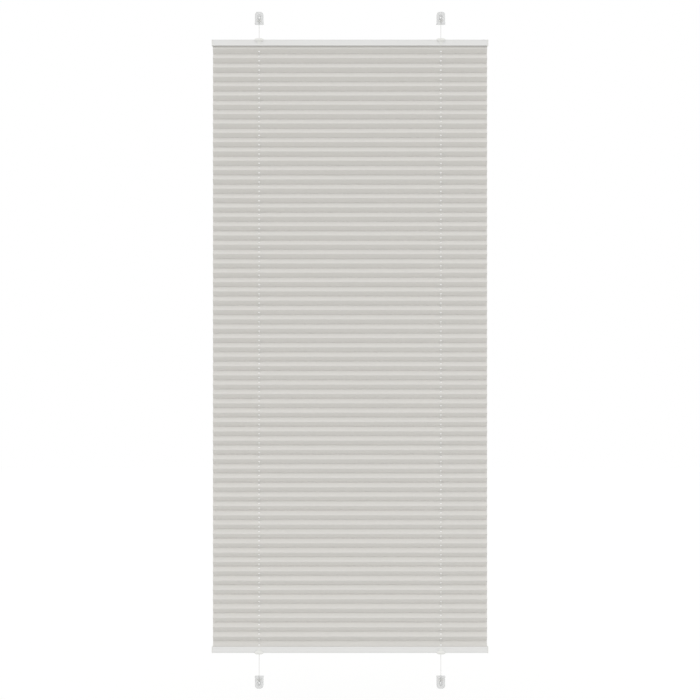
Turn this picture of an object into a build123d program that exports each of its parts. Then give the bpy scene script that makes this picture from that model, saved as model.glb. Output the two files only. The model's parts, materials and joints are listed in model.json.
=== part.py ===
"""A pleated blind, held by two taut cords between four small shoes that are screwed to a window frame.

Millimetres. X runs to the right, Y away from the room and Z up. The origin is the middle of the four screw
holes, in the plane of the window frame that the shoes lie against, so the whole blind has negative Y.
"""

from build123d import *
import math
import os

# Overall sizes of the blind as drawn
blind_width = 900.0
blind_height = 1996.0
gap_above = 51.6
gap_below = 77.6
cord_inset = 154.0

# Rail extrusion
rail_height = 20.0
rail_depth = 22.0
rail_wall = 1.6
rail_outer_radius = 2.5
rail_inner_bevel = 0.6
face_lip = 4.5
face_recess = 0.4
lip_thickness = 1.5
lip_width = 3.4
groove_height = 3.7
web_thickness = 1.2

# End caps
cap_thickness = 3.0
cap_overhang = 0.4
cap_edge_bevel = 0.9
cap_plug_length = 12.0
cap_plug_wall = 1.5
cap_plug_clearance = 0.15
cap_seat = 0.1

# Fabric
pleat_width = 20.0
nominal_pitch = 30.4
fabric_thickness = 0.4
fabric_side_clearance = 0.3
first_fold_drop = 9.8
last_fold_rise = 17.8
end_turn_inset = 4.8
cord_hole_width = 5.3

# Strips that lock the fabric's end pleats in the rails
strip_width = 16.0
strip_thickness = 2.0
strip_clearance = 0.1
flap_overlap = 3.5

# Cords and their guides
cord_radius = 0.75
knot_radius = 1.9
bore_clearance = 0.25
passage_clearance = 1.0
guide_body_width = 12.0
guide_body_depth = 9.0
guide_fit = 0.2
guide_width = 28.0
guide_edge_bevel = 0.6
collar_height = 3.9
collar_side_height = 1.0
collar_top_width = 17.0
collar_back = 7.0
brow_thickness = 4.0
brow_rise = 0.6
brow_drop = 3.2
brow_top_slope = 3.2
undercut_drop = 5.4
chin_drop = 9.2
neck_top_width = 15.0
neck_bottom_width = 6.0
neck_thickness = 1.2
neck_foot_thickness = 0.3
neck_end = 2.0

# Shoes and the stops that hold the cord ends in them
shoe_width = 27.2
shoe_height = 39.6
shoe_depth = 20.0
shoe_flare = 0.8
shoe_foot_height = 2.5
shoe_flare_height = 3.5
shoe_crown_radius = 10.0
shoe_front_bevel = 2.5
shoe_back_wall = 3.0
cord_standoff = 14.0
screw_hole_radius = 2.1
screw_pocket_width = 12.0
screw_pocket_height = 14.6
screw_pocket_drop = 16.0
stop_width = 15.0
stop_depth = 7.0
stop_height = 6.0
stop_corner_bevel = 1.0
stop_notch_clearance = 0.4
stop_floor = 1.6
stop_seat = 0.15
stop_pocket_margin = 0.3
lug_height = 8.0
cord_slot_width = 4.4

# Places worked out from the sizes above
cord_x = blind_width / 2 - cord_inset
cord_y = -cord_standoff
span = gap_above + blind_height + gap_below
screw_height = shoe_height - screw_pocket_drop
upper_shoe_z = span / 2
lower_shoe_z = -span / 2
rail_top_z = upper_shoe_z - gap_above
rail_bottom_z = lower_shoe_z + gap_below
top_rail_z = rail_top_z - rail_height
bottom_rail_z = rail_bottom_z + rail_height
fabric_drop = top_rail_z - bottom_rail_z
extrusion_length = blind_width - 2 * (cap_thickness + cap_seat)
fabric_width = extrusion_length - 2 * fabric_side_clearance
groove_width = rail_depth - 2 * rail_wall
slot_width = groove_width - 2 * lip_width
chamber_width = groove_width - 2 * face_recess
chamber_top = rail_height - rail_wall
groove_top = lip_thickness + groove_height
web_top = groove_top + web_thickness
half_depth = rail_depth / 2
bore_radius = cord_radius + bore_clearance
passage_radius = cord_radius + passage_clearance
strip_base = lip_thickness + fabric_thickness + 2 * strip_clearance
shoe_front = cord_standoff - shoe_depth
stop_rest = lug_height + stop_seat
knot_height = stop_rest + stop_floor + stop_seat + knot_radius


def box(x0, x1, y0, y1, z0, z1):
    """A block between two corners."""
    middle = ((x0 + x1) / 2, (y0 + y1) / 2, (z0 + z1) / 2)
    return Pos(*middle) * Box(x1 - x0, y1 - y0, z1 - z0)


def upright(radius, z0, z1):
    """An upright cylinder on the local Z axis."""
    return Pos(0, 0, (z0 + z1) / 2) * Cylinder(radius, z1 - z0)


def front_extrude(sketch, y0, y1):
    """A front view, drawn in X and Z, given its depth from y0 to y1."""
    return Pos(0, y0, 0) * extrude(Plane.XZ * sketch, amount=y1 - y0, dir=(0, 1, 0))


def at_top(piece, x=0.0):
    """Places a rail's piece on the top rail. Its own zero is the rail's fabric side, on the cord's line."""
    return Pos(x, cord_y, top_rail_z) * piece


def at_bottom(piece, x=0.0):
    """The same piece on the bottom rail, turned over so that its fabric side looks up."""
    return Pos(x, cord_y, bottom_rail_z) * Rot(0, 180, 0) * piece


def at_upper_shoe(piece, x):
    """Places a shoe's piece above. Its own zero is the shoe's straight end, on the cord's line."""
    return Pos(x, cord_y, upper_shoe_z) * piece


def at_lower_shoe(piece, x):
    """The same piece below, turned over so that its straight end looks up."""
    return Pos(x, cord_y, lower_shoe_z) * Rot(0, 180, 0) * piece


# Rail extrusions


def rail_outline(grow=0.0):
    """The rail's outer section, in Y and Z, with rounder corners on the side away from the fabric."""
    outline = Pos(0, rail_height / 2) * Rectangle(rail_depth + 2 * grow, rail_height + 2 * grow)
    outline = fillet(outline.vertices().group_by(Axis.Y)[-1], rail_outer_radius + grow)
    return chamfer(outline.vertices().group_by(Axis.Y)[0], rail_inner_bevel + grow)


def rail_section():
    """The extrusion's section: recessed faces, a chamber, and a groove with two lips for the fabric strip."""
    section = rail_outline()
    for side in (-1, 1):
        recess = Rectangle(2 * face_recess, rail_height - 2 * face_lip)
        section -= Pos(side * half_depth, rail_height / 2) * recess
    section -= Pos(0, (web_top + chamber_top) / 2) * Rectangle(chamber_width, chamber_top - web_top)
    section -= Pos(0, (lip_thickness + groove_top) / 2) * Rectangle(groove_width, groove_height)
    return section - Pos(0, lip_thickness / 2) * Rectangle(slot_width, 2 * lip_thickness)


def rail():
    """One rail, with the two openings that take the cord guides."""
    body = Pos(-extrusion_length / 2, 0, 0) * extrude(Plane.YZ * rail_section(), amount=extrusion_length)
    half_width = guide_body_width / 2 + guide_fit
    half_length = guide_body_depth / 2 + guide_fit
    window = box(-half_width, half_width, -half_length, half_length, web_top, rail_height + 1)
    for side in (-1, 1):
        body -= Pos(side * cord_x, 0, 0) * window
        body -= Pos(side * cord_x, 0, 0) * upright(passage_radius, 0, web_top + 1)
    return body


def end_cap():
    """A moulded cap for the right end: a plate that stands a little proud of the rail, and a hollow plug."""
    inner = blind_width / 2 - cap_thickness
    plate = Pos(inner, 0, 0) * extrude(Plane.YZ * rail_outline(cap_overhang), amount=cap_thickness)
    plate = chamfer(plate.faces().sort_by(Axis.X)[-1].edges(), cap_edge_bevel)
    width = chamber_width - 2 * cap_plug_clearance
    height = chamber_top - web_top - 2 * cap_plug_clearance
    plug = Rectangle(width, height) - Rectangle(width - 2 * cap_plug_wall, height - 2 * cap_plug_wall)
    plug = Plane.YZ * (Pos(0, (web_top + chamber_top) / 2) * plug)
    return plate + Pos(inner - cap_plug_length, 0, 0) * extrude(plug, amount=cap_plug_length)


# Fabric


def pleat_sizes():
    """How many pleats the drop holds, their pitch, and the depth from the front folds to the back folds."""
    folded = fabric_drop - first_fold_drop - last_fold_rise
    count = max(2, round(folded / nominal_pitch + 0.5))
    pitch = folded / (count - 0.5)
    return count, pitch, math.sqrt(pleat_width**2 - (pitch / 2) ** 2)


def fabric_path():
    """The cloth's middle line in Y and Z: round the top strip, down the pleats and round the bottom strip."""
    count, pitch, depth = pleat_sizes()
    flap_under = lip_thickness + strip_clearance + fabric_thickness / 2
    flap_over = strip_base + strip_thickness + strip_clearance + fabric_thickness / 2
    strip_edge = strip_width / 2 + strip_clearance + fabric_thickness / 2
    flap_end = flap_overlap - strip_width / 2
    end_turn = end_turn_inset - strip_width / 2
    path = [
        (flap_end, fabric_drop + flap_over),
        (strip_edge, fabric_drop + flap_over),
        (strip_edge, fabric_drop + flap_under),
        (end_turn, fabric_drop + flap_under),
    ]
    for k in range(count):
        front_fold = fabric_drop - first_fold_drop - k * pitch
        path.append((-depth / 2, front_fold))
        path.append((depth / 2, front_fold - pitch / 2))
    path.append((end_turn, -flap_under))
    path.append((strip_edge, -flap_under))
    path.append((strip_edge, -flap_over))
    path.append((flap_end, -flap_over))
    return path


def thickened(path, thickness):
    """The closed outline of a line that is given a thickness, with mitred corners."""
    normals = []
    for (y0, z0), (y1, z1) in zip(path, path[1:]):
        length = math.hypot(y1 - y0, z1 - z0)
        normals.append(((z0 - z1) / length, (y1 - y0) / length))
    near = []
    far = []
    for i, (y, z) in enumerate(path):
        before = normals[max(i - 1, 0)]
        after = normals[min(i, len(normals) - 1)]
        share = thickness / 2 / (1 + before[0] * after[0] + before[1] * after[1])
        step_y = (before[0] + after[0]) * share
        step_z = (before[1] + after[1]) * share
        near.append((y + step_y, z + step_z))
        far.append((y - step_y, z - step_z))
    return near + far[::-1]


def pleated_fabric():
    """The cloth, folded and punched. Each hole is a square with the area of the real round one."""
    depth = pleat_sizes()[2]
    outline = [(-fabric_width / 2, y, z) for y, z in thickened(fabric_path(), fabric_thickness)]
    cloth = extrude(Face(Wire.make_polygon(outline, close=True)), amount=fabric_width, dir=(1, 0, 0))
    flat = cord_hole_width / 2
    # Seen from above, a hole in a sloping panel is narrower from front to back.
    sloping = flat * depth / pleat_width
    for x in (-cord_x, cord_x):
        cloth -= box(x - flat, x + flat, -sloping, sloping, -web_top, fabric_drop + web_top)
        cloth -= box(x - flat, x + flat, -flat, flat, -web_top, -lip_thickness)
        cloth -= box(x - flat, x + flat, -flat, flat, fabric_drop + lip_thickness, fabric_drop + web_top)
    return Pos(0, cord_y, bottom_rail_z) * cloth


def fabric_strip():
    """The flat strip that the end pleat is wrapped round, with a hole for each cord."""
    half = strip_width / 2
    strip = box(-fabric_width / 2, fabric_width / 2, -half, half, strip_base, strip_base + strip_thickness)
    for side in (-1, 1):
        strip -= Pos(side * cord_x, 0, 0) * upright(passage_radius, 0, rail_height)
    return strip


# Cord guides


def guide_front():
    """The guide's front view: the collar's low arch, the rounded chin below it and the neck."""
    half = guide_width / 2
    top = rail_height + collar_height
    arch = Polyline(
        (-half, rail_height),
        (half, rail_height),
        (half, rail_height + collar_side_height),
        (collar_top_width / 2, top),
        (-collar_top_width / 2, top),
        (-half, rail_height + collar_side_height),
        close=True,
    )
    neck = Polyline(
        (-neck_top_width / 2, rail_height - chin_drop / 2),
        (neck_top_width / 2, rail_height - chin_drop / 2),
        (neck_bottom_width / 2, neck_end),
        (-neck_bottom_width / 2, neck_end),
        close=True,
    )
    chin = Pos(0, rail_height) * Ellipse(half, chin_drop)
    chin -= Pos(0, rail_height + chin_drop) * Rectangle(2 * guide_width, 2 * chin_drop)
    return chin + make_face(arch) + make_face(neck)


def guide_side(front, face, under):
    """The guide's side view: a brow, the undercut chin and the neck below it, and the collar on the rail."""
    top = rail_height + collar_height
    profile = Polyline(
        (face, neck_end),
        (face - neck_foot_thickness, neck_end),
        (face - neck_thickness, rail_height - undercut_drop),
        (front, rail_height - brow_drop),
        (front, rail_height + brow_rise),
        (front + brow_top_slope, top),
        (collar_back, top),
        (collar_back, under),
        (face, under),
        close=True,
    )
    return make_face(profile)


def cord_guide():
    """A moulded guide, cut to its front and side views, with a body that fills the rail's window."""
    under = rail_height + guide_fit
    face = -half_depth - guide_fit
    front = face - brow_thickness
    guide = front_extrude(guide_front(), front, collar_back)
    guide = chamfer(guide.faces().sort_by(Axis.Y)[0].edges(), guide_edge_bevel)
    side = Plane.YZ * guide_side(front, face, under)
    guide &= Pos(-guide_width, 0, 0) * extrude(side, amount=2 * guide_width)
    half_width = guide_body_width / 2
    half_length = guide_body_depth / 2
    guide += box(-half_width, half_width, -half_length, half_length, web_top + guide_fit, under)
    return guide - upright(bore_radius, 0, rail_height + collar_height + 1)


# Shoes and cord stops


def shoe():
    """A clear housing: a screw pocket under its dome, one for the cord stop, and a slot between two lugs."""
    half = shoe_width / 2
    corners = [
        (half + shoe_flare, 0),
        (half + shoe_flare, shoe_foot_height),
        (half, shoe_foot_height + shoe_flare_height),
        (half, shoe_height),
    ]
    corners += [(-x, z) for x, z in corners[::-1]]
    outline = make_face(Polyline(*corners, close=True))
    outline = fillet(outline.vertices().group_by(Axis.Y)[-1], shoe_crown_radius)
    body = front_extrude(outline, shoe_front, cord_standoff)
    rim = body.faces().filter_by(Axis.Y).sort_by(Axis.Y)[0].edges()
    body = chamfer(rim.sort_by(Axis.Z)[1:], shoe_front_bevel)
    oval = Pos(0, screw_height) * (Rot(0, 0, 90) * SlotOverall(screw_pocket_height, screw_pocket_width))
    body -= front_extrude(oval, shoe_front - 1, cord_standoff - shoe_back_wall)
    body -= front_extrude(Pos(0, screw_height) * Circle(screw_hole_radius), shoe_front, cord_standoff + 1)
    pocket = stop_width / 2 + stop_pocket_margin
    pocket_back = stop_depth / 2 + stop_pocket_margin
    pocket_top = stop_rest + stop_height + stop_pocket_margin
    body -= box(-pocket, pocket, shoe_front - 1, pocket_back, lug_height, pocket_top)
    half_slot = cord_slot_width / 2
    return body - box(-half_slot, half_slot, shoe_front - 1, half_slot, -1, lug_height + 1)


def cord_stop():
    """The toggle that the cord is knotted behind, resting on the shoe's lugs, with a notch for the knot."""
    top = stop_rest + stop_height
    block = box(-stop_width / 2, stop_width / 2, -stop_depth / 2, stop_depth / 2, stop_rest, top)
    block = chamfer(block.edges().filter_by(Axis.Y), stop_corner_bevel)
    notch = knot_radius + stop_notch_clearance
    block -= box(-notch, notch, -stop_depth, stop_depth, stop_rest + stop_floor, top + 1)
    return block - upright(bore_radius, 0, top)


def cord():
    """One cord, standing straight under tension between its two knots."""
    middle = upper_shoe_z + knot_height
    run = upright(cord_radius, -middle, middle)
    knot = upright(knot_radius, -knot_radius, knot_radius)
    return run + Pos(0, 0, middle) * knot + Pos(0, 0, -middle) * knot


# Assembly

pieces = {}
pieces["pleated_fabric"] = pleated_fabric()
pieces["top_rail"] = at_top(rail())
pieces["bottom_rail"] = at_bottom(rail())
pieces["top_rail_left_end_cap"] = at_top(Rot(0, 0, 180) * end_cap())
pieces["top_rail_right_end_cap"] = at_top(end_cap())
pieces["bottom_rail_left_end_cap"] = at_bottom(end_cap())
pieces["bottom_rail_right_end_cap"] = at_bottom(Rot(0, 0, 180) * end_cap())
pieces["top_fabric_strip"] = at_top(fabric_strip())
pieces["bottom_fabric_strip"] = at_bottom(fabric_strip())
for name, side in (("left", -1), ("right", 1)):
    x = side * cord_x
    pieces[f"top_rail_{name}_cord_guide"] = at_top(cord_guide(), x)
    pieces[f"bottom_rail_{name}_cord_guide"] = at_bottom(cord_guide(), x)
    pieces[f"upper_{name}_shoe"] = at_upper_shoe(shoe(), x)
    pieces[f"lower_{name}_shoe"] = at_lower_shoe(shoe(), x)
    pieces[f"upper_{name}_cord_stop"] = at_upper_shoe(cord_stop(), x)
    pieces[f"lower_{name}_cord_stop"] = at_lower_shoe(cord_stop(), x)
    pieces[f"{name}_cord"] = Pos(x, cord_y, 0) * cord()

os.makedirs("parts", exist_ok=True)
for name, piece in pieces.items():
    solid = piece.solids()[0]
    solid.label = name
    export_step(solid, f"parts/{name}.step")
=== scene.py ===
"""Pleated blind: the look of the part, in metres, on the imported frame.

X runs to the right, Y away from the room and Z up. The origin is the middle of the four shoe screws, in the
plane of the window frame behind the blind.
"""

import json
import math

import bmesh
import bpy
from mathutils import Matrix, Vector

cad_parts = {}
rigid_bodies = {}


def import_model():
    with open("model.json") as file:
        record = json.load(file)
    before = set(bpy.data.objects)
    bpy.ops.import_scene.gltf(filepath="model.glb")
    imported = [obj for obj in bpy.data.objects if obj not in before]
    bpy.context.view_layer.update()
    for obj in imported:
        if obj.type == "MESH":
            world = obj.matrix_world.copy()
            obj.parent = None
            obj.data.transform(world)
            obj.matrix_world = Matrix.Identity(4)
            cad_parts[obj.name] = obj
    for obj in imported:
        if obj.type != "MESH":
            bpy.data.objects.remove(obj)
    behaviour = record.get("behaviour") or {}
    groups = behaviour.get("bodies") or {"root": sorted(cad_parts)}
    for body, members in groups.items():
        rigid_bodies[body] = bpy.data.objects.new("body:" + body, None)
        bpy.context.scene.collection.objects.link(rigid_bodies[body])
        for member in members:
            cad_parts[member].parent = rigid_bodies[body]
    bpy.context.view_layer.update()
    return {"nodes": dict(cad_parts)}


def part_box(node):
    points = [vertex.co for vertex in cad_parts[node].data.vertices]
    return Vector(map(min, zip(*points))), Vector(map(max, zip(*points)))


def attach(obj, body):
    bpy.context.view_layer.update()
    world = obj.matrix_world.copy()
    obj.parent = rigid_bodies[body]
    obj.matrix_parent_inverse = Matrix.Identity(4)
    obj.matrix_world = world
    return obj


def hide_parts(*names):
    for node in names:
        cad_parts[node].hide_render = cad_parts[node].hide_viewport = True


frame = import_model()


MM = 0.001

# The view. The photograph is taken straight from the front, level with the middle of the blind.
IMAGE_PX = 700
MM_PER_PX = 3.252  # at the rails' front faces
CAMERA_DISTANCE = 5.5
CAMERA_HEIGHT = 0.8 * MM
SENSOR_MM = 36.0
CAMERA_REACH = 60

# Places read from the frame
top_rail_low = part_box("top_rail")[0]
bottom_rail_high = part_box("bottom_rail")[1]
left_cord_low, left_cord_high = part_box("left_cord")
CORD_X = -(left_cord_low.x + left_cord_high.x) / 2
CORD_Y = (left_cord_low.y + left_cord_high.y) / 2
FABRIC_TOP = top_rail_low.z
FABRIC_BOTTOM = bottom_rail_high.z

# Sizes of the cloth. All but the holes' are the same as the solid's.
PLEAT_WIDTH = 20.0 * MM
NOMINAL_PITCH = 30.4 * MM
FIRST_FOLD_DROP = 9.8 * MM
LAST_FOLD_RISE = 17.8 * MM
CLOTH_THICKNESS = 0.4 * MM
HOLE_DIAMETER = 5.4 * MM
HOLE_SIDES = 24

# The flap that wraps the strip in each rail: heights past the rail's mouth, and places measured from the cord
# line, with those in front of it negative.
FLAP_UNDER = 1.8 * MM
FLAP_OVER = 4.4 * MM
FLAP_START = -3.2 * MM
FLAP_EDGE = 8.3 * MM
FLAP_END = -4.5 * MM

# Points of the cloth that lie closer than this are one point.
SAME_POINT = 0.02 * MM

# Sizes of the cords
CORD_DIAMETER = 1.5 * MM
KNOT_RADIUS = 1.35 * MM
KNOT_POINTS = 24
KNOT_SQUEEZE = 0.8  # the share of its diameter that the cord keeps in the pulled knot

# Light. The world is white where it is seen, and a little weaker where it lights. Angles are in degrees.
WORLD_LIGHT = 0.8
SUN_LIGHT = 0.75
SUN_ELEVATION = 55
SUN_SPREAD = 30

# Floor, in metres, and the glow that makes it white to the camera
FLOOR_Z = -1.45
FLOOR_HALF = 15.0
FLOOR_GLOW = 1.03
FLOOR_GLOW_SHARE = 0.8


# Small helpers


def colour(code):
    """An sRGB hex value as linear RGBA."""
    channels = [int(code[i : i + 2], 16) / 255 for i in (1, 3, 5)]
    return [c / 12.92 if c <= 0.04045 else ((c + 0.055) / 1.055) ** 2.4 for c in channels] + [1.0]


def per_metre(size_mm):
    """The scale of a pattern whose features are this many millimetres across."""
    return 1000 / size_mm


def add(tree, kind, inputs=None, **settings):
    """Adds a node. inputs maps a socket's name or number to a value or to the socket that feeds it."""
    node = tree.nodes.new(kind)
    for name, value in settings.items():
        setattr(node, name, value)
    for key, value in (inputs or {}).items():
        if isinstance(value, bpy.types.NodeSocket):
            tree.links.new(value, node.inputs[key])
        else:
            node.inputs[key].default_value = value
    return node


def new_material(name, finish):
    """A material and its Principled shader. finish gives the shader's own sockets their values."""
    material = bpy.data.materials.new(name)
    material.use_nodes = True
    tree = material.node_tree
    shader = tree.nodes["Principled BSDF"]
    for socket_name, value in finish.items():
        shader.inputs[socket_name].default_value = value
    return material, tree, shader


def new_piece(name, data, material):
    """A finished piece in one material."""
    piece = bpy.data.objects.new(name, data)
    bpy.context.scene.collection.objects.link(piece)
    data.materials.clear()
    data.materials.append(material)
    return piece


# Camera

camera = bpy.data.objects.new("camera", bpy.data.cameras.new("camera"))
bpy.context.scene.collection.objects.link(camera)
camera.location = (0, top_rail_low.y - CAMERA_DISTANCE, CAMERA_HEIGHT)
camera.rotation_euler = (math.pi / 2, 0, 0)
camera.data.sensor_width = SENSOR_MM
camera.data.lens = SENSOR_MM * CAMERA_DISTANCE / (IMAGE_PX * MM_PER_PX * MM)
camera.data.clip_end = CAMERA_REACH
bpy.context.scene.camera = camera


# Materials


def powder_coated_aluminium():
    """White polyester powder coat on an extrusion: satin, with the faint orange peel of the baked powder."""
    material, tree, shader = new_material("white_powder_coated_aluminium", {"Roughness": 0.42, "IOR": 1.5})
    place = add(tree, "ShaderNodeTexCoord").outputs["Object"]
    # Orange peel is 1 to 2 mm across. It is drawn at 3 mm so that it still shows from near.
    peel = add(tree, "ShaderNodeTexNoise", {"Vector": place, "Scale": per_metre(3.0), "Detail": 2.0})
    cloud = add(tree, "ShaderNodeTexNoise", {"Vector": place, "Scale": per_metre(110.0), "Detail": 3.0})
    tint = add(
        tree,
        "ShaderNodeMix",
        {"Factor": cloud.outputs["Fac"], 6: colour("#e2e2e1"), 7: colour("#e5e5e4")},
        data_type="RGBA",
    )
    bump = add(
        tree,
        "ShaderNodeBump",
        {"Height": peel.outputs["Fac"], "Strength": 0.12, "Distance": 0.2 * MM},
    )
    tree.links.new(tint.outputs[2], shader.inputs["Base Color"])
    tree.links.new(bump.outputs["Normal"], shader.inputs["Normal"])
    return material


def moulded_white_abs():
    """White ABS from a spark-eroded mould: a little softer than the rail, with a fine even grain."""
    finish = {"Base Color": colour("#e6e6e3"), "Roughness": 0.5, "IOR": 1.53}
    material, tree, shader = new_material("moulded_white_abs", finish)
    place = add(tree, "ShaderNodeTexCoord").outputs["Object"]
    grain = add(tree, "ShaderNodeTexNoise", {"Vector": place, "Scale": per_metre(0.7), "Detail": 2.0})
    bump = add(
        tree,
        "ShaderNodeBump",
        {"Height": grain.outputs["Fac"], "Strength": 0.15, "Distance": 0.1 * MM},
    )
    tree.links.new(bump.outputs["Normal"], shader.inputs["Normal"])
    return material


def extruded_pvc():
    """Plain off-white PVC strip, with the faint lines of the die along it. It is hidden in the rail."""
    finish = {"Base Color": colour("#dcdcd6"), "Roughness": 0.45}
    material, tree, shader = new_material("extruded_pvc", finish)
    place = add(tree, "ShaderNodeTexCoord").outputs["Object"]
    die = (per_metre(50.0), per_metre(1.1), per_metre(1.1))
    along = add(tree, "ShaderNodeMapping", {"Vector": place, "Scale": die})
    lines = add(tree, "ShaderNodeTexNoise", {"Vector": along.outputs["Vector"], "Scale": 1.0, "Detail": 2.0})
    bump = add(
        tree,
        "ShaderNodeBump",
        {"Height": lines.outputs["Fac"], "Strength": 0.2, "Distance": 0.1 * MM},
    )
    tree.links.new(bump.outputs["Normal"], shader.inputs["Normal"])
    return material


def clear_polycarbonate():
    """Clear moulded polycarbonate: what lies behind shows through, and a wall seen edge on turns grey, partly
    the plastic's own tint over the longer path and partly painted shade for the darkening that refraction
    gives at edges.
    """
    finish = {"Roughness": 0.2, "IOR": 1.585, "Alpha": 0.42}
    material, tree, shader = new_material("clear_polycarbonate", finish)
    place = add(tree, "ShaderNodeTexCoord").outputs["Object"]
    flow = add(tree, "ShaderNodeTexNoise", {"Vector": place, "Scale": per_metre(11.0), "Detail": 1.0})
    bump = add(
        tree,
        "ShaderNodeBump",
        {"Height": flow.outputs["Fac"], "Strength": 0.04, "Distance": 0.3 * MM},
    )
    # Partly painted shade: the colour greys where a wall is seen edge on, for the plastic's own tint over the
    # longer path and for the darkening that refraction gives there.
    edge = add(tree, "ShaderNodeLayerWeight", {"Blend": 0.4})
    tint = add(
        tree,
        "ShaderNodeMix",
        {"Factor": edge.outputs["Facing"], 6: colour("#d3d4d4"), 7: colour("#a9abab")},
        data_type="RGBA",
    )
    tree.links.new(tint.outputs[2], shader.inputs["Base Color"])
    tree.links.new(bump.outputs["Normal"], shader.inputs["Normal"])
    return material


def pleated_polyester():
    """Off-white woven polyester, pressed in pleats: matt, with a soft sheen and slubs along the weft."""
    finish = {"Roughness": 0.85, "Sheen Weight": 0.8, "Sheen Roughness": 0.5, "Specular IOR Level": 0.25}
    material, tree, shader = new_material("pleated_polyester", finish)
    cloth = add(tree, "ShaderNodeUVMap", uv_map="UVMap").outputs["UV"]
    # The threads are 0.3 mm apart. They are drawn as slubs of 12.5 by 1.25 mm, which is as fine as shows.
    weft = (per_metre(12.5), per_metre(1.25), 1.0)
    along = add(tree, "ShaderNodeMapping", {"Vector": cloth, "Scale": weft})
    slub = add(tree, "ShaderNodeTexNoise", {"Vector": along.outputs["Vector"], "Scale": 1.0, "Detail": 3.0})
    spread = {"Value": slub.outputs["Fac"], "From Min": 0.35, "From Max": 0.65}
    shade = add(tree, "ShaderNodeMapRange", spread)
    tint = add(
        tree,
        "ShaderNodeMix",
        {"Factor": shade.outputs["Result"], 6: colour("#d5d3cf"), 7: colour("#d9d7d3")},
        data_type="RGBA",
    )
    bump = add(
        tree,
        "ShaderNodeBump",
        {"Height": slub.outputs["Fac"], "Strength": 0.25, "Distance": 0.3 * MM},
    )
    tree.links.new(tint.outputs[2], shader.inputs["Base Color"])
    tree.links.new(bump.outputs["Normal"], shader.inputs["Normal"])
    return material


def braided_polyester():
    """White braided cord: strands cross at a slant, with painted shade in the hollows between them."""
    material, tree, shader = new_material("braided_polyester_cord", {"Roughness": 0.75})
    place = add(tree, "ShaderNodeTexCoord").outputs["Object"]
    # The real braid repeats every 1 mm. It is drawn at 2 mm so that it shows from near.
    slant = add(tree, "ShaderNodeMapping", {"Vector": place, "Scale": (per_metre(2.0),) * 3})
    braid = add(
        tree,
        "ShaderNodeTexWave",
        {"Vector": slant.outputs["Vector"], "Scale": 0.3},
        bands_direction="DIAGONAL",
    )
    bump = add(
        tree,
        "ShaderNodeBump",
        {"Height": braid.outputs["Fac"], "Strength": 0.4, "Distance": 0.2 * MM},
    )
    # Painted shade: the colour is darker where the braid's bump is low, in the hollows between the strands.
    tint = add(
        tree,
        "ShaderNodeMix",
        {"Factor": braid.outputs["Fac"], 6: colour("#d2d2d0"), 7: colour("#e2e2e0")},
        data_type="RGBA",
    )
    tree.links.new(tint.outputs[2], shader.inputs["Base Color"])
    tree.links.new(bump.outputs["Normal"], shader.inputs["Normal"])
    return material


RAIL = powder_coated_aluminium()
WHITE_PLASTIC = moulded_white_abs()
STRIP = extruded_pvc()
CLEAR_PLASTIC = clear_polycarbonate()
CLOTH = pleated_polyester()
CORD = braided_polyester()


# Cords


def straight_cord(name, x, low, high):
    """A taut cord as one NURBS line between its knots."""
    heights = [low, FABRIC_BOTTOM, (low + high) / 2, FABRIC_TOP, high]
    curve = bpy.data.curves.new(name, "CURVE")
    curve.dimensions = "3D"
    spline = curve.splines.new("NURBS")
    spline.points.add(len(heights) - 1)
    for point, z in zip(spline.points, heights):
        point.co = (x, CORD_Y, z, 1)
    spline.order_u = 3
    spline.use_endpoint_u = True
    spline.resolution_u = 8
    curve.bevel_depth = CORD_DIAMETER / 2
    curve.bevel_resolution = 4
    curve.use_fill_caps = True
    cord = new_piece(name, curve, CORD)
    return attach(cord, "root")


def knot(name, x, z):
    """A small overhand knot, as a closed trefoil of the same cord."""
    curve = bpy.data.curves.new(name, "CURVE")
    curve.dimensions = "3D"
    spline = curve.splines.new("NURBS")
    spline.points.add(KNOT_POINTS - 1)
    size = KNOT_RADIUS / 3
    for i, point in enumerate(spline.points):
        t = 2 * math.pi * i / KNOT_POINTS
        point.co = (
            x + size * (math.sin(t) + 2 * math.sin(2 * t)),
            CORD_Y - size * math.sin(3 * t),
            z + size * (math.cos(t) - 2 * math.cos(2 * t)),
            1,
        )
    spline.order_u = 4
    spline.use_cyclic_u = True
    spline.resolution_u = 4
    curve.bevel_depth = CORD_DIAMETER / 2 * KNOT_SQUEEZE
    curve.bevel_resolution = 3
    shape = bpy.data.objects.new(name, curve)
    mesh = bpy.data.meshes.new_from_object(shape)
    bpy.data.objects.remove(shape)
    piece = new_piece(name, mesh, CORD)
    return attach(piece, "root")


for side, x in (("left", -CORD_X), ("right", CORD_X)):
    low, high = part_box(f"{side}_cord")
    knot_half = (high.x - low.x) / 2
    cord = straight_cord(f"{side}_braided_cord", x, low.z + knot_half, high.z - knot_half)
    ends = [
        knot(f"{side}_cord_lower_knot", x, low.z + knot_half),
        knot(f"{side}_cord_upper_knot", x, high.z - knot_half),
    ]
    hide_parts(f"{side}_cord")


# Cloth


def new_group(name, sockets):
    """A geometry node group with these named inputs. Gives the group and its inputs' sockets inside."""
    group = bpy.data.node_groups.new(name, "GeometryNodeTree")
    for socket_name, kind in sockets.items():
        group.interface.new_socket(socket_name, in_out="INPUT", socket_type=kind)
    group.interface.new_socket("Geometry", in_out="OUTPUT", socket_type="NodeSocketGeometry")
    return group, add(group, "NodeGroupInput").outputs


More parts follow.
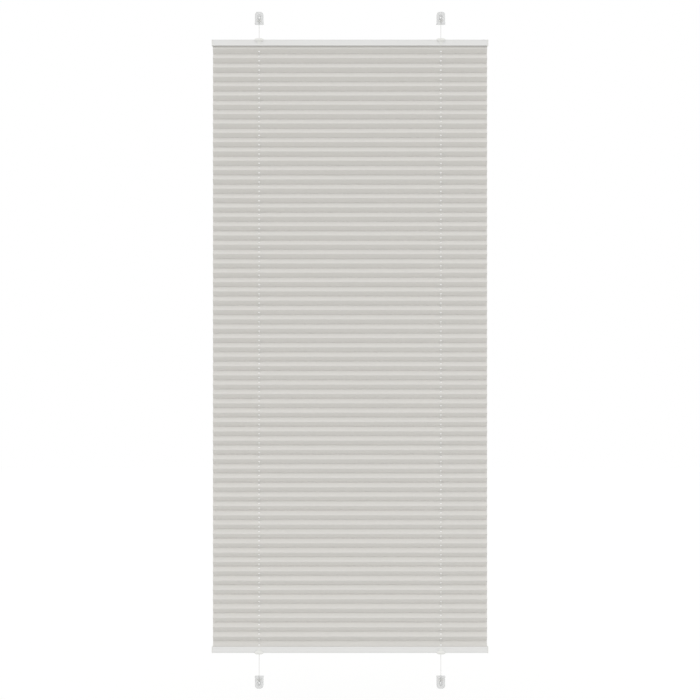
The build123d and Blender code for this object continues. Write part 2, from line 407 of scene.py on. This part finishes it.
def punched_strip_group():
    """A flat strip in X and Y, centred, with a round hole for each cord and its own place as an attribute."""
    sizes = ("Width", "Depth", "Hole Diameter", "Hole X", "Hole Y")
    sockets = dict.fromkeys(sizes, "NodeSocketFloat") | {"Hole Sides": "NodeSocketInt"}
    group, given = new_group("punched_strip", sockets)
    edge = add(
        group,
        "GeometryNodeCurvePrimitiveQuadrilateral",
        {"Width": given["Width"], "Height": given["Depth"]},
    )
    radius = add(group, "ShaderNodeMath", {0: given["Hole Diameter"], 1: 0.5}, operation="MULTIPLY")
    ring = add(
        group,
        "GeometryNodeCurvePrimitiveCircle",
        {"Resolution": given["Hole Sides"], "Radius": radius.outputs[0]},
    )
    outlines = add(group, "GeometryNodeJoinGeometry", {"Geometry": edge.outputs["Curve"]})
    for side in (-1.0, 1.0):
        x = add(group, "ShaderNodeMath", {0: given["Hole X"], 1: side}, operation="MULTIPLY")
        place = add(group, "ShaderNodeCombineXYZ", {"X": x.outputs[0], "Y": given["Hole Y"]})
        hole = add(
            group,
            "GeometryNodeTransform",
            {"Geometry": ring.outputs["Curve"], "Translation": place.outputs["Vector"]},
        )
        group.links.new(hole.outputs["Geometry"], outlines.inputs["Geometry"])
    flat = add(group, "GeometryNodeFillCurve", {"Curve": outlines.outputs["Geometry"]})
    place = add(group, "GeometryNodeInputPosition")
    marked = add(
        group,
        "GeometryNodeStoreNamedAttribute",
        {"Geometry": flat.outputs["Mesh"], "Name": "flat_place", "Value": place.outputs["Position"]},
        data_type="FLOAT_VECTOR",
        domain="POINT",
    )
    add(group, "NodeGroupOutput", {"Geometry": marked.outputs["Geometry"]})
    return group


def pleats_group(strip):
    """The pleats: a punched strip for each panel, tipped to and fro so that neighbours meet at the folds."""
    sizes = ("Width", "Pleat Width", "Pitch", "First Fold", "Cord Y", "Hole Diameter", "Hole X")
    sockets = dict.fromkeys(sizes, "NodeSocketFloat")
    sockets |= {"Hole Sides": "NodeSocketInt", "Pleats": "NodeSocketInt", "Cloth": "NodeSocketMaterial"}
    group, given = new_group("pleats", sockets)

    def calculate(operation, *values):
        return add(group, "ShaderNodeMath", dict(enumerate(values)), operation=operation).outputs[0]

    panel = add(group, "GeometryNodeGroup", node_tree=strip)
    for name in ("Width", "Hole Diameter", "Hole X", "Hole Sides"):
        group.links.new(given[name], panel.inputs[name])
    group.links.new(given["Pleat Width"], panel.inputs["Depth"])

    # A line of points down the blind, one in the middle of each panel. The last pleat has its front panel
    # only, because the back one turns into the rail.
    half_pitch = calculate("MULTIPLY", given["Pitch"], 0.5)
    count = calculate("SUBTRACT", calculate("MULTIPLY", given["Pleats"], 2.0), 1.0)
    first = calculate("SUBTRACT", given["First Fold"], calculate("MULTIPLY", half_pitch, 0.5))
    start = add(group, "ShaderNodeCombineXYZ", {"Y": given["Cord Y"], "Z": first})
    step = add(group, "ShaderNodeCombineXYZ", {"Z": calculate("MULTIPLY", half_pitch, -1.0)})
    line = add(
        group,
        "GeometryNodeMeshLine",
        {"Count": count, "Start Location": start.outputs["Vector"], "Offset": step.outputs["Vector"]},
    )

    # Even panels tip one way and odd ones the other. The sine of the angle is half the pitch over the width.
    index = add(group, "GeometryNodeInputIndex").outputs["Index"]
    odd = calculate("FLOORED_MODULO", index, 2.0)
    way = calculate("MULTIPLY_ADD", odd, 2.0, -1.0)
    tip = calculate("ARCSINE", calculate("DIVIDE", half_pitch, given["Pleat Width"]))
    turn = add(group, "ShaderNodeCombineXYZ", {"X": calculate("MULTIPLY", tip, way)})
    numbered = add(
        group,
        "GeometryNodeStoreNamedAttribute",
        {"Geometry": line.outputs["Mesh"], "Name": "panel", "Value": calculate("ADD", index, 0.0)},
        data_type="FLOAT",
        domain="POINT",
    )
    panels = add(
        group,
        "GeometryNodeInstanceOnPoints",
        {
            "Points": numbered.outputs["Geometry"],
            "Instance": panel.outputs["Geometry"],
            "Rotation": turn.outputs["Vector"],
        },
    )
    real = add(group, "GeometryNodeRealizeInstances", {"Geometry": panels.outputs["Instances"]})
    dressed = add(
        group,
        "GeometryNodeSetMaterial",
        {"Geometry": real.outputs["Geometry"], "Material": given["Cloth"]},
    )
    add(group, "NodeGroupOutput", {"Geometry": dressed.outputs["Geometry"]})
    return group


def made_by(group, values):
    """The plain mesh that a node group makes with these inputs."""
    holder = bpy.data.objects.new("holder", bpy.data.meshes.new("holder"))
    bpy.context.scene.collection.objects.link(holder)
    modifier = holder.modifiers.new("shape", "NODES")
    modifier.node_group = group
    for item in group.interface.items_tree:
        if item.in_out == "INPUT" and item.name in values:
            modifier[item.identifier] = values[item.name]
    holder.update_tag()
    depsgraph = bpy.context.evaluated_depsgraph_get()
    mesh = bpy.data.meshes.new_from_object(holder.evaluated_get(depsgraph))
    bpy.data.objects.remove(holder)
    return mesh


def mark_flat_places(sheet, uv):
    """Gives each panel its place on the flat cut as UV, in metres across and down from the first fold."""
    flat_place = sheet.verts.layers.float_vector["flat_place"]
    panel = sheet.verts.layers.float["panel"]
    for face in sheet.faces:
        for loop in face.loops:
            number = round(loop.vert[panel])
            way = -1 if number % 2 else 1
            across, down, _ = loop.vert[flat_place]
            loop[uv].uv = (across, (number + 0.5) * PLEAT_WIDTH + way * down)


def flap(mouth, inwards):
    """The cloth's way round the strip in a rail, from its mouth to its end. inwards is 1 up and -1 down."""
    under = mouth + inwards * FLAP_UNDER
    over = mouth + inwards * FLAP_OVER
    return [(FLAP_START, under), (FLAP_EDGE, under), (FLAP_EDGE, over), (FLAP_END, over)]


def path_length(path):
    """The length of a path of straight runs."""
    return sum(math.dist(a, b) for a, b in zip(path, path[1:]))


def lay_end(sheet, uv, strip, width, path, start):
    """Adds flat strips along the path, punched where a cord crosses it.

    start is the path's place on the flat cut.
    """
    done = start
    for (y0, z0), (y1, z1) in zip(path, path[1:]):
        run = math.dist((y0, z0), (y1, z1))
        crosses = y0 * y1 < 0
        hole_y = run * (-y0 / (y1 - y0)) - run / 2 if crosses else 0.0
        punched = crosses and abs(hole_y) + HOLE_DIAMETER / 2 <= run / 2
        sizes = {
            "Width": width,
            "Depth": run,
            "Hole Diameter": HOLE_DIAMETER if punched else 0.0,
            "Hole X": CORD_X,
            "Hole Y": hole_y,
            "Hole Sides": HOLE_SIDES,
        }
        before = len(sheet.verts)
        sheet.from_mesh(made_by(strip, sizes))
        sheet.verts.ensure_lookup_table()
        new = set(sheet.verts[before:])
        for face in sheet.faces:
            if face.verts[0] in new:
                for loop in face.loops:
                    loop[uv].uv = (loop.vert.co.x, done + run / 2 + loop.vert.co.y)
        centre = Vector((0, CORD_Y + (y0 + y1) / 2, (z0 + z1) / 2))
        matrix = Matrix.Translation(centre) @ Matrix.Rotation(math.atan2(z1 - z0, y1 - y0), 4, "X")
        for vertex in new:
            vertex.co = matrix @ vertex.co
        done += run


def pleated_cloth():
    """The whole cloth: the pleats, and at each end the part panel and the flap in the rail.

    Gives the mesh, and the flat cut's width and length.
    """
    folded = FABRIC_TOP - FABRIC_BOTTOM - FIRST_FOLD_DROP - LAST_FOLD_RISE
    pleats = round(folded / NOMINAL_PITCH + 0.5)
    pitch = folded / (pleats - 0.5)
    depth = math.sqrt(PLEAT_WIDTH**2 - (pitch / 2) ** 2)
    low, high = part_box("pleated_fabric")
    width = high.x - low.x
    strip = punched_strip_group()
    sizes = {
        "Width": width,
        "Pleat Width": PLEAT_WIDTH,
        "Pitch": pitch,
        "Pleats": pleats,
        "First Fold": FABRIC_TOP - FIRST_FOLD_DROP,
        "Cord Y": CORD_Y,
        "Hole Diameter": HOLE_DIAMETER,
        "Hole X": CORD_X,
        "Hole Sides": HOLE_SIDES,
        "Cloth": CLOTH,
    }
    sheet = bmesh.new()
    sheet.from_mesh(made_by(pleats_group(strip), sizes))
    uv = sheet.loops.layers.uv.new("UVMap")
    mark_flat_places(sheet, uv)

    top_end = flap(FABRIC_TOP, 1)[::-1] + [(-depth / 2, FABRIC_TOP - FIRST_FOLD_DROP)]
    bottom_end = [(depth / 2, FABRIC_BOTTOM + LAST_FOLD_RISE)] + flap(FABRIC_BOTTOM, -1)
    length = (2 * pleats - 1) * PLEAT_WIDTH
    lay_end(sheet, uv, strip, width, top_end, -path_length(top_end))
    lay_end(sheet, uv, strip, width, bottom_end, length)
    bmesh.ops.remove_doubles(sheet, verts=sheet.verts, dist=SAME_POINT)
    bmesh.ops.recalc_face_normals(sheet, faces=sheet.faces)
    mesh = bpy.data.meshes.new("pleated_cloth")
    sheet.to_mesh(mesh)
    sheet.free()
    return mesh, width, length + path_length(top_end) + path_length(bottom_end)


cloth_mesh, cloth_width, cloth_length = pleated_cloth()
cloth = new_piece("pleated_cloth", cloth_mesh, CLOTH)
solid = cloth.modifiers.new("cloth_thickness", "SOLIDIFY")
solid.thickness = CLOTH_THICKNESS
solid.offset = 0
solid.use_even_offset = True

# The cloth hangs between the rails. It rides on the top rail, and the hook moves each point with the bottom
# rail by the point's share of the way down, so that all the pleats open and close alike.
share = cloth.vertex_groups.new(name="follows_bottom_rail")
for vertex in cloth_mesh.vertices:
    weight = (FABRIC_TOP - vertex.co.z) / (FABRIC_TOP - FABRIC_BOTTOM)
    share.add([vertex.index], min(max(weight, 0.0), 1.0), "REPLACE")
hook = cloth.modifiers.new("hangs_from_both_rails", "HOOK")
hook.object = bpy.data.objects["body:bottom_rail"]
hook.vertex_group = share.name
hook.matrix_inverse = Matrix.Identity(4)
hook.center = (0, 0, 0)
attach(cloth, "top_rail")
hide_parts("pleated_fabric")


# Finishes of the solids that show as they are

FINISHES = {
    "_rail": RAIL,
    "_strip": STRIP,
    "_shoe": CLEAR_PLASTIC,
    "_cap": WHITE_PLASTIC,
    "_guide": WHITE_PLASTIC,
    "_stop": WHITE_PLASTIC,
}

for name, node in frame["nodes"].items():
    for ending, material in FINISHES.items():
        if name.endswith(ending):
            for place in node.material_slots:
                place.material = material


# Studio


def studio_floor():
    """A plain pale floor that keeps the shadow and is white to the camera where it is lit."""
    finish = {"Base Color": colour("#f4f4f2"), "Roughness": 0.9}
    material, tree, shader = new_material("studio_floor", finish)
    path = add(tree, "ShaderNodeLightPath").outputs
    glow = add(tree, "ShaderNodeEmission", {"Color": (1, 1, 1, 1), "Strength": FLOOR_GLOW})
    seen = add(tree, "ShaderNodeMath", {0: path["Is Camera Ray"], 1: FLOOR_GLOW_SHARE}, operation="MULTIPLY")
    mix = add(tree, "ShaderNodeMixShader", {0: seen.outputs[0], 1: shader.outputs[0], 2: glow.outputs[0]})
    tree.links.new(mix.outputs[0], tree.nodes["Material Output"].inputs["Surface"])
    return material


def studio_world():
    """Soft light from all round. It is white where it is seen, also in gloss and through clear plastic."""
    world = bpy.data.worlds.new("studio")
    bpy.context.scene.world = world
    world.use_nodes = True
    tree = world.node_tree
    background = tree.nodes["Background"]
    background.inputs["Color"].default_value = (1, 1, 1, 1)
    path = add(tree, "ShaderNodeLightPath").outputs
    seen = path["Is Camera Ray"]
    for kind in ("Is Glossy Ray", "Is Transmission Ray"):
        seen = add(tree, "ShaderNodeMath", {0: seen, 1: path[kind]}, operation="MAXIMUM").outputs[0]
    strength = add(tree, "ShaderNodeMapRange", {"Value": seen, "To Min": WORLD_LIGHT, "To Max": 1.0})
    tree.links.new(strength.outputs["Result"], background.inputs["Strength"])


floor_mesh = bpy.data.meshes.new("floor")
floor_mesh.from_pydata(
    [(x * FLOOR_HALF, y * FLOOR_HALF, FLOOR_Z) for x, y in ((-1, -1), (1, -1), (1, 1), (-1, 1))],
    [],
    [(0, 1, 2, 3)],
)
floor_mesh.materials.append(studio_floor())
floor = bpy.data.objects.new("floor", floor_mesh)
bpy.context.scene.collection.objects.link(floor)

studio_world()

# A far, wide and soft light from above the camera, so that the blind is lit alike from top to bottom.
sun = bpy.data.lights.new("overhead_softbox", "SUN")
sun.energy = SUN_LIGHT
sun.angle = math.radians(SUN_SPREAD)
softbox = bpy.data.objects.new("overhead_softbox", sun)
softbox.rotation_euler = (math.radians(90 - SUN_ELEVATION), 0, 0)
bpy.context.scene.collection.objects.link(softbox)

bpy.context.scene.view_settings.view_transform = "Standard"
